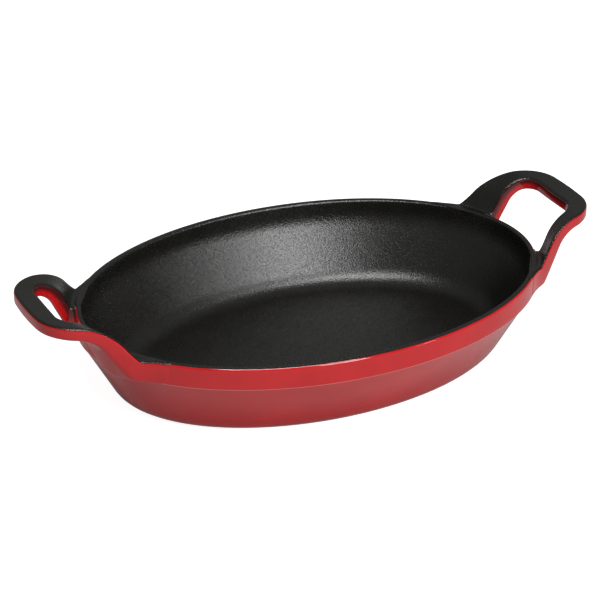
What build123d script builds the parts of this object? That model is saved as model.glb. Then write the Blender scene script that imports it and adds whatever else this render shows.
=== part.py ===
"""Oval gratin dish: a cast-iron bowl with two raised loop handles, enamelled black inside
and red outside.

Frame: +Z up, +X along the dish through both handles, origin on the table at the middle of
the foot. Lengths are millimetres, angles are degrees.

The casting is one shape, drawn by cast_shape(inset). With no inset it is the finished,
enamelled outside; drawn one coat thickness inside that, it is the bare iron. The coats are
what lies between the two, parted on the upper faces a little inside their outer edges.
"""
from build123d import *
import math
import os

# The bowl
rim_half_length = 140.0      # rim's outer edge, along X
rim_half_width = 98.0        # rim's outer edge, along Y
rim_height = 52.0            # table to the rim's top
lip_width = 4.2              # flat top of the rim
floor_thickness = 5.0
wall_slope = 28.7            # from upright, below the band
band_height = 13.0           # upright band under the rim
band_step = 0.9              # how far the wall steps in under the band
base_round = 12.0            # between wall and base, outside
floor_round = 15.0           # between wall and floor, inside
shoulder_depth = 11.0        # nearly upright top of the inner wall
shoulder_draft = 1.0         # how far that part closes in
shoulder_round = 25.0        # where it turns to the slope

# The foot, a ground ring left bare
foot_height = 0.8            # proud of the enamel
foot_width = 5.5
foot_edge = 1.9              # enamelled flat outside the ring

# The handle's sheet from the side: steeply off the rim, then nearly level to the bar. It is
# turned about an upright axis, as the rim's end is very nearly round.
end_round_margin = 5.0       # how much wider the sheet turns than the rim's very end
handle_reach = 32.7          # rim's outer edge to the bar's outer side
handle_rise = 21.6           # rim's top to the upper face over the bar's outer side
handle_thickness = 6.5       # square to the upper face
flank_gap = 2.2              # rim's outer edge to the upper face, at the rim's level
flank_angle = 66.5           # of the steep part, from level
top_angle = 5.7              # of the part over the bar, from level
climb_round = 20.5           # between the two, on the upper face
groove_depth = 1.5           # flat bottom between the rim and the steep part
root_depth = 12.6            # rim's top to the underside of the root
root_length = 3.6            # how far the root runs into the wall

# The handle's outline from above: three tangent arcs from the bar's middle, then straight
crown_round = 185.0
crown_turn = 4.6
corner_round = 23.6
corner_turn = 70.4
flank_round = 120.0          # hollow side
flank_turn = 15.5
flank_run = 16.0             # straight end, into the wall

# The finger holes
bar_width = 11.4
hole_bar_half = 23.8         # half width at the bar, before rounding
hole_flare = 10.0            # how far each side leans outwards, towards the rim
hole_bar_round = 11.0
hole_rim_round = 3.5
hole_scallop = 1.0           # how far a hole cuts into the rim

# The enamel
coat_thickness = 0.5         # ground coat and colour together
red_border = 1.2             # width of the red round the black, on the upper faces
parting_drop = 0.9           # depth of the parting, below the upper faces

turned_angle = 120.0         # of the rim's end that a handle's sheet covers

slope = math.tan(math.radians(wall_slope))
upright = math.cos(math.radians(wall_slope))
rim_end_round = rim_half_width ** 2 / rim_half_length + end_round_margin
clear_height = rim_height + handle_rise + handle_reach


def oval(growth, height):
    """The rim's oval, grown all round, at a height."""
    return Plane.XY.offset(height) * Ellipse(
        rim_half_width + growth, rim_half_length + growth, rotation=90)


def both_ends(shape):
    return [shape, mirror(shape, Plane.YZ)]


def uprights(prism):
    """The edges that run up a prism."""
    return prism.edges().filter_by(lambda edge: edge.bounding_box().size.Z > handle_thickness)


def climb(shift, level):
    """The handle's upper face from the side, moved into the sheet and cut at a level.

    Lengths are (distance outside the rim, height above it).
    """
    steep, flat = math.radians(flank_angle), math.radians(top_angle)
    gap = flank_gap + shift / math.sin(steep)
    lift = handle_rise - shift / math.cos(flat) - handle_reach * math.tan(flat)
    bend = (lift + gap * math.tan(steep)) / (math.tan(steep) - math.tan(flat))
    end = handle_reach + handle_thickness
    return FilletPolyline((gap + level / math.tan(steep), level),
                          (bend, lift + bend * math.tan(flat)),
                          (end, lift + end * math.tan(flat)), radius=climb_round - shift)


def turned(profile):
    """A face of (distance outside the rim, height above it), turned round the rim's end."""
    axis = Axis((rim_half_length - rim_end_round, 0, 0), (0, 0, 1))
    side = Plane(origin=(rim_half_length, 0, rim_height), x_dir=(1, 0, 0), z_dir=(0, -1, 0))
    return revolve(side * profile, axis, turned_angle).rotate(axis, -turned_angle / 2)


def sheet(inset):
    """The handle's sheet without its outline, from inside the wall outwards."""
    upper = climb(inset, -groove_depth - inset)
    lower = climb(handle_thickness - inset, inset - root_depth)
    root = Polyline(upper @ 0, (-root_length, (upper @ 0).Y), (-root_length, (lower @ 0).Y),
                    lower @ 0)
    return turned(make_face([upper, Line(upper @ 1, lower @ 1), lower, root]))


def outline(inset):
    """The handle's outline seen from above."""
    middle = rim_half_length + handle_reach - inset
    crown = JernArc((middle, 0), (0, 1), crown_round - inset, crown_turn)
    corner = JernArc(crown @ 1, crown % 1, corner_round - inset, corner_turn)
    flank = JernArc(corner @ 1, corner % 1, flank_round + inset, -flank_turn)
    end = flank @ 1 + (flank % 1) * flank_run
    half = make_face([crown, corner, flank,
                      Polyline(flank @ 1, end, (end.X, 0), (middle, 0))])
    return half + mirror(half, Plane.XZ)


def finger_hole(inset):
    """The hole as an upright prism from below the band to above the handle."""
    bar = rim_half_length + handle_reach - bar_width + inset
    root = rim_half_length - hole_bar_half
    bar_half = hole_bar_half + inset
    root_half = bar_half + (bar - root) * math.tan(math.radians(hole_flare))
    corners = [(root, root_half), (bar, bar_half), (bar, -bar_half), (root, -root_half)]
    floor = rim_height - band_height - foot_width
    prism = extrude(Plane.XY.offset(floor) * make_face(Polyline(*corners, corners[0])),
                    clear_height - floor)
    prism -= extrude(oval(-hole_scallop - inset, 0), clear_height)
    prism = fillet(uprights(prism).group_by(Axis.X)[0], hole_rim_round + inset)
    return fillet(uprights(prism).group_by(Axis.X)[-1], hole_bar_round + inset)


def handle(inset):
    """One loop handle with its root inside the wall, on the +X side."""
    return (extrude(outline(inset), clear_height) & sheet(inset)) - finger_hole(inset)


def body(inset):
    """The bowl's outside, filled: band, step and tapering wall with a rounded base."""
    band_floor = rim_height - band_height + inset
    step = band_step + inset / upright
    wall_top = band_floor + band_step
    base = foot_height + inset
    run = (wall_top - base) * slope
    wall = loft([oval(-step - run, base), oval(-step, wall_top)], ruled=True)
    wall = fillet(wall.edges().group_by(Axis.Z)[0], base_round - inset)
    return extrude(oval(-inset, band_floor), band_height - 2 * inset) + wall


def cavity(inset):
    """The space inside the dish, drawn larger by the inset."""
    floor = foot_height + floor_thickness - inset
    mouth = inset - lip_width
    shoulder = mouth - shoulder_draft
    level = rim_height - shoulder_depth
    space = loft([oval(shoulder - (level - floor) * slope, floor), oval(shoulder, level)],
                 ruled=True)
    space += loft([oval(shoulder, level), oval(mouth, rim_height)], ruled=True)
    space = fillet(space.edges().group_by(Axis.Z)[0], floor_round + inset)
    turn = space.edges().filter_by(lambda edge: abs((edge @ 0.5).Z - level) < coat_thickness)
    return fillet(turn, shoulder_round + inset)


def cast_shape(inset):
    """The whole dish drawn one inset inside its finished surface."""
    return (body(inset) - cavity(inset) - both_ends(finger_hole(inset))
            + both_ends(handle(inset)))


def foot_ring():
    """The bare ring that the dish stands on, with its top in the iron."""
    flat = body(0).faces().sort_by(Axis.Z)[0].bounding_box().size.X / 2 - rim_half_length
    top = foot_height + 2 * coat_thickness
    return (extrude(oval(flat - foot_edge, 0), top)
            - extrude(oval(flat - foot_edge - foot_width, 0), top))


def upper_space():
    """The space above the parting of the two colours, which the black coat fills."""
    sky = clear_height - rim_height
    inner = -red_border - coat_thickness
    line = climb(parting_drop, -groove_depth - parting_drop)
    above = Polyline(line @ 1, ((line @ 1).X, sky), (inner, sky), (inner, (line @ 0).Y), line @ 0)
    over_handle = turned(make_face([line, above])) & extrude(outline(red_border),
                                                             2 * clear_height)
    over_rim = extrude(oval(-red_border, rim_height - parting_drop), sky)
    lining = cavity((lip_width - red_border - hole_scallop) * math.sqrt(0.5))
    return over_rim + lining + both_ends(over_handle) - both_ends(finger_hole(red_border))


core = cast_shape(coat_thickness)
shell = cast_shape(0) - core
upper = upper_space()
ring = foot_ring()
lower_coats = (shell - upper - ring).solids().sort_by(SortBy.VOLUME)
nodes = {
    "iron_casting": core + ring,
    "black_enamel_lining": shell & upper,
    "red_enamel_coat": lower_coats[-1],
    "foot_recess_enamel": lower_coats[0],
}

os.makedirs("parts", exist_ok=True)
for name, shape in nodes.items():
    export_step(shape, os.path.join("parts", name + ".step"))
    print(name, len(shape.solids()), round(shape.volume))
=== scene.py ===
"""The looks of an oval gratin dish in enamelled cast iron, black inside and red outside.

The dish's skin is drawn as two forms, the bowl and the loop handle. Each is cut where the two
colours meet, and each colour is given the thickness of its enamel.
Sizes are in metres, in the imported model's frame.
"""
import math

import bmesh
import bpy
from mathutils import Matrix, Vector


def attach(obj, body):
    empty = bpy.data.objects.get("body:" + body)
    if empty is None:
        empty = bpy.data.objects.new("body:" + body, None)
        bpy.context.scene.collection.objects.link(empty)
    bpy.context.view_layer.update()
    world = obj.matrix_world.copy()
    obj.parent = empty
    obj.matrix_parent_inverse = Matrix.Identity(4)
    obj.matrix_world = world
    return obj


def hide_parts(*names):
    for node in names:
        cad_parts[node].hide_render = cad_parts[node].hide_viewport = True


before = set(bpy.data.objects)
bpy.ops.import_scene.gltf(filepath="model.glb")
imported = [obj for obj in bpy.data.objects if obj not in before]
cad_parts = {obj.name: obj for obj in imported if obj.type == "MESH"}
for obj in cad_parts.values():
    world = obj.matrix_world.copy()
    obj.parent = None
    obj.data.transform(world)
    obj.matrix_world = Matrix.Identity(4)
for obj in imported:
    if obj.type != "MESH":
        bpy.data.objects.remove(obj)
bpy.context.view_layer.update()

MM = 0.001

# The bowl
RIM_LENGTH = 140 * MM       # half the rim's outer oval, along X
RIM_WIDTH = 98 * MM         # half of it along Y
RIM_TOP = 52 * MM
LIP_WIDTH = 4.2 * MM
LIP_ROUND = 1.35 * MM
WALL_LEAN = math.radians(28.7)          # from upright, below the band
WALL_SLOPE = math.tan(WALL_LEAN)
BAND_HEIGHT = 13 * MM
BAND_STEP = 0.9 * MM
BAND_ROUND = 0.7 * MM
BASE_ROUND = 12 * MM
SHOULDER_DEPTH = 11 * MM
SHOULDER_DRAFT = 1 * MM
SHOULDER_ROUND = 25 * MM
FLOOR_ROUND = 15 * MM
FLOOR_THICKNESS = 5 * MM
FOOT_HEIGHT = 0.8 * MM
FOOT_EDGE = 1.9 * MM

# The handles' sheet from the side, as (distance outside the rim, height above it)
END_ROUND = 73.6 * MM       # the rim's end, as the sheet follows it
HANDLE_REACH = 32.7 * MM
HANDLE_RISE = 21.6 * MM     # rim's top to the upper face over the bar's outer side
HANDLE_THICKNESS = 6.5 * MM
FLANK_GAP = 2.2 * MM        # rim to the upper face, at the rim's level
FLANK_ANGLE = math.radians(66.5)
TOP_ANGLE = math.radians(5.7)
CLIMB_ROUND = 20.5 * MM
GROOVE_DEPTH = 1.5 * MM     # where the handle's upper face leaves the rim
GROOVE_SOFTNESS = 1.5 * MM
GROOVE_END = 50 * MM        # how far out along Y the groove has faded
GROOVE_TRACE = 0.01         # what is kept of it past there, so that its turn stays soft
ROOT_DEPTH = 12.6 * MM
ROOT_SOFTNESS = 1.2 * MM

# The handles from above: tangent arcs from the bar's middle (radius, turn)
CROWN = (185 * MM, math.radians(4.6))
CORNER = (23.6 * MM, math.radians(70.4))
FLANK = (120 * MM, math.radians(-15.5))
BLEND = (50 * MM, math.radians(-12))     # along the rim
DIVE = (20 * MM, math.radians(16))       # into the wall
BAR_WIDTH = 11.4 * MM
HOLE_HALF = 23.8 * MM
HOLE_FLARE = math.radians(10)
HOLE_BAR_ROUND = 11 * MM
HOLE_RIM_ROUND = 3.5 * MM
HOLE_SCALLOP = 1 * MM       # how far a hole cuts into the rim
HOLE_RIM_TURN = math.radians(118)        # of the hole's edge at the rim, into the wall
HOLE_OVERLAP = HOLE_SCALLOP / 4          # how far that turn passes the scalloped rim

# The enamel
COAT = 0.5 * MM
RED_BORDER = 0.7 * MM       # red left round the black on the rim's top
UPPER_ROUND = 1.25 * MM     # the handles' upper edges
UNDER_ROUND = 1.35 * MM     # their lower edges
ROOT_END = 118 * MM         # where the handle's outline has run into the rim
BLACK_DEPTH = ROOT_DEPTH / 3             # of the black on the rim's outside, at a root
LIP_FLATNESS = LIP_ROUND / 10            # what still counts as the rim's top
LEVEL_NORMAL = 0.9          # upward part of a face's normal that counts as level
PAINTED_HIGHLIGHT_SHARE = 0.98          # of the band's lower round, where the red gets a painted highlight line

# How finely the forms are divided
ROUND_STEPS = 6             # a rounded corner of the bowl's line
OVAL_STEPS = 288            # once round the bowl
RUN_STEP = 3 * MM           # the long runs of the bowl's line
LEG_STEPS = 90              # from the bar's middle to a root
RUNG_STEPS = 18             # across the handle
EDGE_STEPS = 5              # of these, a rounded edge
RED_STEPS = 2               # of these, what stays red
MERGE = COAT / 100          # points closer than this are one

# How places are searched for, step by step
CLOSEST_STEPS = 6
FITTING_STEPS = 20
FITTING_CARE = 1.1

# Marks on the handle's faces, and what the red enamel reads from its piece: where it darkens
# toward the tops of the finger holes' walls, and where it has a painted highlight line
TOP, SIDE, BOTTOM = 0, 1, 2
HOLE_TOP_DARKENING, PAINTED_HIGHLIGHT = "hole_top_darkening", "painted_highlight"

# The enamels' and the iron's colours, each from its darker to its lighter places
BLACK_COLOURS = ((0.0035, 0.0033, 0.0025), (0.006, 0.0057, 0.0045))
RED_COLOURS = ((0.41, 0.005, 0.008), (0.47, 0.008, 0.010))
HOLE_TOP_COLOUR = (0.06, 0.008, 0.008)      # dark red toward the tops of the finger holes' walls
PAINTED_HIGHLIGHT_COLOUR = (0.7, 0.16, 0.14)          # painted highlight: paler red along the band's lower rounded edge
IRON_COLOURS = ((0.16, 0.155, 0.15), (0.30, 0.295, 0.285))

# The studio: the floor, and each lamp's place, size and power in watts
FLOOR_HALF = 6
FLOOR_GREY = 0.5
LAMPS = {"overhead": ((-0.05, -0.5, 1.3), (0.9, 0.3), 14),
         "front": ((0.25, -1.4, 0.85), (0.45, 0.45), 14),
         "glint": ((1.0, -1.25, 0.6), (0.2, 0.2), 2)}

# The photograph's view
PHOTO_PIXELS = 600
FOCAL_PIXELS = 2401
CAMERA_PLACE = (-551.7 * MM, -1090.9 * MM, 679.1 * MM)
CAMERA_DIP = math.radians(27.69)
CAMERA_TURN = math.radians(26.55)


def rounded(corners):
    """A line through corners (out, up, radius), with its corners rounded."""
    points = [Vector(corners[0][:2])]
    for before, here, after in zip(corners, corners[1:], corners[2:]):
        corner, radius = Vector(here[:2]), here[2]
        back = (Vector(before[:2]) - corner).normalized()
        ahead = (Vector(after[:2]) - corner).normalized()
        half = back.angle(ahead) / 2
        centre = corner + (back + ahead).normalized() * radius / math.sin(half)
        start = corner + back * radius / math.tan(half) - centre
        end = corner + ahead * radius / math.tan(half) - centre
        sweep = start.angle_signed(end)
        for step in range(ROUND_STEPS + 1):
            turn = Matrix.Rotation(-sweep * step / ROUND_STEPS, 2)
            points.append(centre + turn @ start)
    return points + [Vector(corners[-1][:2])]


def spaced(line, step):
    """The same line with its long runs divided."""
    points = [line[0]]
    for start, end in zip(line, line[1:]):
        parts = max(1, round((end - start).length / step))
        points += [start.lerp(end, part / parts) for part in range(1, parts + 1)]
    return points


def outside_rim(x, y):
    """How far a place in plan lies outside the rim's oval."""
    angle = math.atan2(y * RIM_LENGTH, x * RIM_WIDTH)
    for _ in range(CLOSEST_STEPS):
        on_oval = Vector((RIM_LENGTH * math.cos(angle), RIM_WIDTH * math.sin(angle)))
        tangent = Vector((-RIM_LENGTH * math.sin(angle), RIM_WIDTH * math.cos(angle)))
        off = Vector((x, y)) - on_oval
        angle += off.dot(tangent) / (tangent.length_squared + off.dot(on_oval))
    inside = (x / RIM_LENGTH) ** 2 + (y / RIM_WIDTH) ** 2 < 1
    return -off.length if inside else off.length


def outside_end(x, y):
    """How far a place in plan lies outside the rim's end, taken as round."""
    return math.hypot(x - RIM_LENGTH + END_ROUND, y) - END_ROUND


def climb(out, depth):
    """Height over the rim of the handle's upper face, or of a face that deep below it."""
    gap = FLANK_GAP + depth / math.sin(FLANK_ANGLE)
    steep, flat = math.tan(FLANK_ANGLE), math.tan(TOP_ANGLE)
    lift = HANDLE_RISE - depth / math.cos(TOP_ANGLE) - HANDLE_REACH * flat
    bend = (lift + gap * steep) / (steep - flat)
    radius = CLIMB_ROUND - depth
    tangent = radius * math.tan((FLANK_ANGLE - TOP_ANGLE) / 2)
    start = bend - tangent * math.cos(FLANK_ANGLE)
    centre = start + radius * math.sin(FLANK_ANGLE)
    if out < start:
        return (out - gap) * steep
    if out > bend + tangent * math.cos(TOP_ANGLE):
        return lift + out * flat
    low = (start - gap) * steep - radius * math.cos(FLANK_ANGLE)
    return low + math.sqrt(radius ** 2 - (out - centre) ** 2)


def above(height, floor, softness):
    """A height kept above a floor, with a soft turn between the two."""
    return (height + floor + math.hypot(height - floor, softness)) / 2


def upper_face(out, side):
    """Height of the handle's upper face, by the distances outside the rim and along Y."""
    left = (GROOVE_END - side) / (GROOVE_END - HOLE_HALF)
    share = math.sqrt(min(max(left, GROOVE_TRACE), 1))
    return RIM_TOP + above(climb(out, 0), -GROOVE_DEPTH * share, GROOVE_SOFTNESS * share)


def under_face(out, _):
    """Height of the handle's underside."""
    return RIM_TOP + above(climb(out, HANDLE_THICKNESS), -ROOT_DEPTH, ROOT_SOFTNESS)


def along(start, legs, distance):
    """The place and heading that far along straight lines and tangent arcs (length, turn)."""
    x, y = start
    heading = math.radians(90)
    for length, turn in legs:
        part = min(distance, length)
        if turn:
            radius = length / turn
            end = heading + part / radius
            x += radius * (math.sin(end) - math.sin(heading))
            y += radius * (math.cos(heading) - math.cos(end))
            heading = end
        else:
            x += part * math.cos(heading)
            y += part * math.sin(heading)
        distance -= part
    return Vector((x, y)), heading


def arc(radius, turn):
    return abs(radius * turn), turn


OUTLINE = (arc(*CROWN), arc(*CORNER), arc(*FLANK), arc(*BLEND), arc(*DIVE))
OUTLINE_START = (RIM_LENGTH + HANDLE_REACH, 0)
HOLE_START = (RIM_LENGTH + HANDLE_REACH - BAR_WIDTH, 0)
BAR_TURN = math.radians(90) - HOLE_FLARE


def hole_legs():
    """The finger hole's edge from the middle of the bar into the rim."""
    bar = HOLE_HALF - HOLE_BAR_ROUND * math.tan(BAR_TURN / 2)
    legs = [(bar, 0), arc(HOLE_BAR_ROUND, BAR_TURN)]
    reach = bar + legs[1][0]
    target = HOLE_RIM_ROUND - HOLE_SCALLOP - HOLE_OVERLAP
    side = 0.0
    for _ in range(FITTING_STEPS):
        place, heading = along(HOLE_START, legs + [(1, 0)], reach + side)
        middle = place + Vector((-math.sin(heading), math.cos(heading))) * HOLE_RIM_ROUND
        side += (outside_rim(*middle) - target) / FITTING_CARE
    return legs + [(side, 0), arc(HOLE_RIM_ROUND, HOLE_RIM_TURN)]


HOLE = hole_legs()


def run(legs, stop, share):
    """Length along the legs up to a share of leg number stop."""
    return sum(length for length, _ in legs[:stop]) + legs[stop][0] * share


# The share of the way from the bar to the rim, and the lengths along the hole's edge and
# along the outline that face each other there
STATIONS = ((0, 0, 0),
            (0.30, run(HOLE, 1, 0.5), run(OUTLINE, 1, 0.55)),
            (0.62, run(HOLE, 2, 1), run(OUTLINE, 2, 0.45)),
            (1, run(HOLE, 3, 1), run(OUTLINE, 4, 1)))


def edges_at(share):
    """The hole's edge and the outline at a share of the way from the bar to the rim."""
    for (low, hole_low, edge_low), (high, hole_high, edge_high) in zip(STATIONS, STATIONS[1:]):
        if share <= high:
            part = (share - low) / (high - low)
            return (along(HOLE_START, HOLE, hole_low + (hole_high - hole_low) * part),
                    along(OUTLINE_START, OUTLINE, edge_low + (edge_high - edge_low) * part))


def across(share, index, radius):
    """A place across the handle, and how far its rounded edges drop there."""
    (hole, hole_way), (edge, edge_way) = edges_at(share)
    inwards = (Vector((math.sin(hole_way), -math.cos(hole_way))),
               Vector((-math.sin(edge_way), math.cos(edge_way))))
    step = min(index, RUNG_STEPS - index, EDGE_STEPS)
    turn = math.radians(90) * step / EDGE_STEPS
    inset = radius * (1 - math.cos(turn))
    part = (index - EDGE_STEPS) / (RUNG_STEPS - 2 * EDGE_STEPS)
    hole += inwards[0] * inset
    edge += inwards[1] * inset
    return hole.lerp(edge, min(max(part, 0), 1)), radius * (1 - math.sin(turn))


def steepness(face, out, side):
    """Length of a face's line in section over its length in plan."""
    return math.hypot(1, (face(out + COAT, side) - face(out - COAT, side)) / (2 * COAT))


def new_mesh(name, mesh, finish):
    """A finished piece from a bmesh: smooth, with crisp open edges."""
    for face in mesh.faces:
        face.smooth = True
        face.material_index = 0
    for edge in mesh.edges:
        edge.smooth = not edge.is_boundary
    data = bpy.data.meshes.new(name)
    mesh.to_mesh(data)
    mesh.free()
    piece = bpy.data.objects.new(name, data)
    bpy.context.scene.collection.objects.link(piece)
    data.materials.append(finish)
    return piece


def bowl():
    """The bowl's whole skin, from the foot over the rim to the floor."""
    wall_top = RIM_TOP - BAND_HEIGHT
    wall = -BAND_STEP - BAND_STEP * WALL_SLOPE
    base = wall - (wall_top - FOOT_HEIGHT) * WALL_SLOPE
    shoulder = -LIP_WIDTH - SHOULDER_DRAFT
    level = RIM_TOP - SHOULDER_DEPTH
    floor = FOOT_HEIGHT + FLOOR_THICKNESS
    flat = shoulder - (level - floor) * WALL_SLOPE
    tangent = BASE_ROUND * math.tan((math.radians(90) - WALL_LEAN) / 2)
    corners = [(base - tangent - FOOT_EDGE, FOOT_HEIGHT), (base, FOOT_HEIGHT, BASE_ROUND),
               (wall, wall_top, BAND_ROUND), (0, wall_top, BAND_ROUND),
               (0, RIM_TOP, LIP_ROUND), (-LIP_WIDTH, RIM_TOP, LIP_ROUND),
               (shoulder, level, SHOULDER_ROUND), (flat, floor, FLOOR_ROUND),
               (flat - FLOOR_ROUND, floor)]
    line = spaced(rounded(corners), RUN_STEP)
    mesh = bmesh.new()
    # Marks the band's lower rounded edge, where the red enamel gets a painted highlight line
    painted_highlight_line = mesh.verts.layers.float.new(PAINTED_HIGHLIGHT)
    verts = [mesh.verts.new((RIM_LENGTH + point.x, 0, point.y)) for point in line]
    for vert in verts:
        vert[painted_highlight_line] = float(vert.co.x > RIM_LENGTH - BAND_ROUND * PAINTED_HIGHLIGHT_SHARE
                           and 0 < vert.co.z - wall_top < BAND_ROUND * PAINTED_HIGHLIGHT_SHARE)
    edges = [mesh.edges.new(pair) for pair in zip(verts, verts[1:])]
    bmesh.ops.spin(mesh, geom=verts + edges, axis=(0, 0, 1), cent=(0, 0, 0),
                   angle=math.tau, steps=OVAL_STEPS, use_merge=True)
    bmesh.ops.remove_doubles(mesh, verts=mesh.verts, dist=MERGE)
    for vert in mesh.verts:
        around = vert.co.xy.length
        vert.co.y *= (around - RIM_LENGTH + RIM_WIDTH) / around
        scallop(vert, around - RIM_LENGTH)
    middle = [edge for edge in mesh.edges if edge.is_boundary and edge.verts[0].co.z > floor / 2]
    bmesh.ops.holes_fill(mesh, edges=middle, sides=0)
    bmesh.ops.recalc_face_normals(mesh, faces=mesh.faces)
    return mesh


def scallop(vert, out):
    """Draws the rim's outside in, where it faces a finger hole."""
    half = HOLE_HALF + (HANDLE_REACH - BAR_WIDTH) * math.tan(HOLE_FLARE)
    side = (half - abs(vert.co.y)) / HOLE_RIM_ROUND + 1
    if side <= 0:
        return
    if vert.co.z > RIM_TOP - LIP_ROUND:
        share = (out + LIP_WIDTH / 2 + LIP_ROUND / 2) / (LIP_WIDTH / 2 - LIP_ROUND / 2)
    else:
        share = out / BAND_STEP + 1
    if vert.co.z < RIM_TOP - BAND_HEIGHT or share <= 0:
        return
    depth = HOLE_SCALLOP * min(share, 1) * min(side, 1)
    vert.co.x -= math.copysign(depth, vert.co.x)


def under_handle(place):
    """Whether a place on the rim has a handle's root outside it."""
    return (abs(place.x) > ROOT_END and abs(place.y) > HOLE_HALF + HOLE_RIM_ROUND
            and place.z > RIM_TOP - BLACK_DEPTH)


def bowl_is_black(face):
    """Black inside and over the lip, and down into the groove at a handle."""
    place = face.calc_center_median()
    if under_handle(place):
        return True
    if place.z > RIM_TOP - LIP_FLATNESS:
        return outside_rim(*place.xy) < -RED_BORDER
    faces_inwards = face.normal.z > 0 and face.normal.xy.dot(place.xy) <= 0
    return face.normal.z > LEVEL_NORMAL or faces_inwards


def handle():
    """The skin of the loop handle on the +X side, its upper face marked TOP."""
    mesh = bmesh.new()
    hole_top_mark = mesh.verts.layers.float.new(HOLE_TOP_DARKENING)
    bmesh.ops.create_grid(mesh, x_segments=2 * LEG_STEPS, y_segments=RUNG_STEPS, size=1)
    for face in mesh.faces:
        face.material_index = BOTTOM
    raised = bmesh.ops.extrude_face_region(mesh, geom=mesh.faces[:])["geom"]
    upper = {item for item in raised if isinstance(item, bmesh.types.BMVert)}
    black = 1 - 2 * RED_STEPS / RUNG_STEPS
    for face in mesh.faces:
        corners = [vert in upper for vert in face.verts]
        if all(corners):
            inside = abs(face.calc_center_median().y) < black
            face.material_index = TOP if inside else SIDE
        elif any(corners):
            face.material_index = SIDE
    caps = [face for face in mesh.faces if face.material_index == SIDE
            and all(abs(vert.co.x) > 1 - 0.5 / LEG_STEPS for vert in face.verts)]
    bmesh.ops.delete(mesh, geom=caps, context="FACES")
    for vert in mesh.verts:
        share, index = vert.co.x, round((vert.co.y + 1) / 2 * RUNG_STEPS)
        radius, surface, way = ((UPPER_ROUND, upper_face, -1) if vert in upper
                                else (UNDER_ROUND, under_face, 1))
        place, drop = across(abs(share), index, radius)
        out = outside_end(*place)
        # Marks the upper edges on the finger hole's side, where the red enamel darkens toward
        # the tops of the holes' walls
        vert[hole_top_mark] = float(vert in upper and index < RUNG_STEPS / 2)
        vert.co = (place.x, math.copysign(place.y, share),
                   surface(out, place.y) + way * drop * steepness(surface, out, place.y))
    bmesh.ops.recalc_face_normals(mesh, faces=mesh.faces)
    return mesh


def kept(mesh, wanted):
    """A copy of the mesh with only the faces that are wanted."""
    part = mesh.copy()
    part.normal_update()
    bmesh.ops.delete(part, geom=[face for face in part.faces if not wanted(face)],
                     context="FACES")
    return part


def coat(name, mesh, finish, node):
    """One colour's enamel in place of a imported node: the skin, one coat thick."""
    piece = new_mesh(name, mesh, finish)
    thickness = piece.modifiers.new("coat thickness", "SOLIDIFY")
    thickness.thickness = COAT
    thickness.offset = -1
    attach(piece, "root")
    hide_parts(node)


def material(name, **values):
    """A material with its main shader's plain values set."""
    made = bpy.data.materials.new(name)
    made.use_nodes = True
    shader = made.node_tree.nodes["Principled BSDF"]
    for socket, value in values.items():
        shader.inputs[socket.replace("_", " ")].default_value = value
    return made, made.node_tree, shader


def noise(tree, scale, detail=2.0, rough=0.5):
    """A noise pattern that stays put on the piece."""
    place = tree.nodes.new("ShaderNodeTexCoord")
    pattern = tree.nodes.new("ShaderNodeTexNoise")
    pattern.inputs["Scale"].default_value = scale
    pattern.inputs["Detail"].default_value = detail
    pattern.inputs["Roughness"].default_value = rough
    tree.links.new(place.outputs["Object"], pattern.inputs["Vector"])
    return pattern.outputs["Fac"]


def ranged(tree, value, low, high, start=0.3, end=0.7):
    """A value spread over a range."""
    node = tree.nodes.new("ShaderNodeMapRange")
    node.inputs["From Min"].default_value = start
    node.inputs["From Max"].default_value = end
    node.inputs["To Min"].default_value = low
    node.inputs["To Max"].default_value = high
    tree.links.new(value, node.inputs["Value"])
    return node.outputs["Result"]


def mixed(tree, share, first, second):
    """Two colours, or a socket and a colour, mixed by a share."""
    node = tree.nodes.new("ShaderNodeMix")
    node.data_type = "RGBA"
    tree.links.new(share, node.inputs["Factor"])
    for name, colour in (("A", first), ("B", second)):
        socket = next(item for item in node.inputs if item.identifier == name + "_Color")
        if isinstance(colour, bpy.types.NodeSocket):
            tree.links.new(colour, socket)
        else:
            socket.default_value = (*colour, 1)
    return next(item for item in node.outputs if item.identifier == "Result_Color")


def bumped(tree, shader, height, distance, strength=1.0):
    """Fine relief from a pattern, in metres."""
    node = tree.nodes.new("ShaderNodeBump")
    node.inputs["Distance"].default_value = distance
    node.inputs["Strength"].default_value = strength
    tree.links.new(height, node.inputs["Height"])
    tree.links.new(node.outputs["Normal"], shader.inputs["Normal"])


def black_enamel():
    """Matte black with a fine sandy grain that sparkles in the light."""
    made, tree, shader = material("matte black enamel", IOR=1.6)
    grain = noise(tree, scale=1000, detail=3.0, rough=0.6)
    mottle = noise(tree, scale=90, detail=3.0)
    colour = mixed(tree, ranged(tree, mottle, 0, 1), *BLACK_COLOURS)
    tree.links.new(colour, shader.inputs["Base Color"])
    tree.links.new(ranged(tree, grain, low=0.22, high=0.3), shader.inputs["Roughness"])
    bumped(tree, shader, grain, distance=0.22 * MM)
    return made


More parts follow.
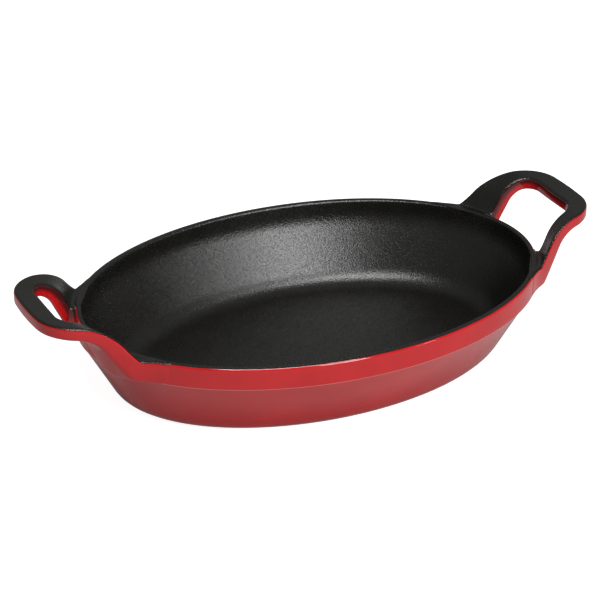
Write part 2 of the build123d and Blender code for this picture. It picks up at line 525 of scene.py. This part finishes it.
def red_enamel():
    """Glossy cherry red, darker toward the tops of the finger holes' walls, with a painted
    highlight line along the band's lower rounded edge.
    """
    made, tree, shader = material("glossy red enamel", IOR=1.5)
    flow = noise(tree, scale=160)
    depth = noise(tree, scale=40)
    colour = mixed(tree, ranged(tree, depth, 0, 1), *RED_COLOURS)
    hole_top_mark = tree.nodes.new("ShaderNodeAttribute")
    hole_top_mark.attribute_name = HOLE_TOP_DARKENING
    # Darker red toward the tops of the finger holes' walls
    hole_top_share = ranged(tree, hole_top_mark.outputs["Fac"], 0, 1, start=0.3, end=0.8)
    colour = mixed(tree, hole_top_share, colour, HOLE_TOP_COLOUR)
    # Painted highlight: a paler red line along the band's lower rounded edge
    painted_highlight_line = tree.nodes.new("ShaderNodeAttribute")
    painted_highlight_line.attribute_name = PAINTED_HIGHLIGHT
    colour = mixed(tree, painted_highlight_line.outputs["Fac"], colour, PAINTED_HIGHLIGHT_COLOUR)
    tree.links.new(colour, shader.inputs["Base Color"])
    tree.links.new(ranged(tree, flow, low=0.05, high=0.09), shader.inputs["Roughness"])
    bumped(tree, shader, flow, distance=0.04 * MM)
    return made


def bare_iron():
    """The ground foot ring: grey iron with fine scratches."""
    made, tree, shader = material("ground iron", Metallic=1.0)
    grain = noise(tree, scale=900, detail=4.0)
    colour = mixed(tree, ranged(tree, grain, 0, 1), *IRON_COLOURS)
    tree.links.new(colour, shader.inputs["Base Color"])
    tree.links.new(ranged(tree, grain, low=0.45, high=0.7), shader.inputs["Roughness"])
    bumped(tree, shader, grain, distance=0.1 * MM, strength=0.6)
    return made


def paint_node(name, finish):
    """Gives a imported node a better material."""
    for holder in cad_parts[name].material_slots:
        holder.material = finish


def by_ray(tree, plain, camera, glossy):
    """A value for most rays, with others for what the camera sees directly or mirrored."""
    rays = tree.nodes.new("ShaderNodeLightPath")
    value = plain
    for name, amount in (("Is Camera Ray", camera), ("Is Glossy Ray", glossy)):
        node = tree.nodes.new("ShaderNodeMath")
        node.operation = "MULTIPLY_ADD"
        tree.links.new(rays.outputs[name], node.inputs[0])
        node.inputs[1].default_value = amount - plain
        if value is plain:
            node.inputs[2].default_value = plain
        else:
            tree.links.new(value, node.inputs[2])
        value = node.outputs["Value"]
    return value


def studio():
    """A white floor and room, with one lamp overhead and two in front."""
    room = bpy.data.worlds.new("white room")
    bpy.context.scene.world = room
    room.use_nodes = True
    sky = room.node_tree.nodes["Background"]
    sky.inputs["Color"].default_value = (1, 1, 1, 1)
    strength = by_ray(room.node_tree, plain=0.24, camera=1, glossy=0.2)
    room.node_tree.links.new(strength, sky.inputs["Strength"])
    ground = bmesh.new()
    bmesh.ops.create_grid(ground, x_segments=1, y_segments=1, size=FLOOR_HALF)
    white, tree, shader = material("white paper", Roughness=0.9)
    shader.inputs["Base Color"].default_value = (FLOOR_GREY, FLOOR_GREY, FLOOR_GREY, 1)
    shader.inputs["Emission Color"].default_value = (1, 1, 1, 1)
    strength = by_ray(tree, plain=0, camera=0.92, glossy=0.08)
    tree.links.new(strength, shader.inputs["Emission Strength"])
    new_mesh("floor", ground, white)
    for name, (place, size, power) in LAMPS.items():
        lamp = bpy.data.lights.new(name, "AREA")
        lamp.shape = "RECTANGLE"
        lamp.size, lamp.size_y = size
        lamp.energy = power
        holder = bpy.data.objects.new(name, lamp)
        holder.location = place
        holder.rotation_euler = (-Vector(place)).to_track_quat("-Z", "Y").to_euler()
        bpy.context.scene.collection.objects.link(holder)


def camera():
    """The photograph's view."""
    eye = bpy.data.cameras.new("camera")
    eye.sensor_width = 36
    eye.lens = eye.sensor_width * FOCAL_PIXELS / PHOTO_PIXELS
    holder = bpy.data.objects.new("camera", eye)
    holder.location = CAMERA_PLACE
    holder.rotation_euler = (math.radians(90) - CAMERA_DIP, 0, -CAMERA_TURN)
    bpy.context.scene.collection.objects.link(holder)
    bpy.context.scene.camera = holder


bpy.context.scene.view_settings.view_transform = "Standard"
black, red, iron = black_enamel(), red_enamel(), bare_iron()

skin = bowl()
coat("black_enamel_bowl", kept(skin, bowl_is_black), black, "black_enamel_lining")
coat("red_enamel_bowl", kept(skin, lambda face: not bowl_is_black(face)), red,
     "red_enamel_coat")
loop = handle()
for name, turned in (("right", False), ("left", True)):
    if turned:
        bmesh.ops.scale(loop, vec=(-1, 1, 1), verts=loop.verts)
        bmesh.ops.reverse_faces(loop, faces=loop.faces)
    coat("black_enamel_handle_" + name, kept(loop, lambda face: face.material_index == TOP),
         black, "black_enamel_lining")
    coat("red_enamel_handle_" + name, kept(loop, lambda face: face.material_index != TOP),
         red, "red_enamel_coat")
paint_node("iron_casting", iron)
paint_node("foot_recess_enamel", red)
studio()
camera()
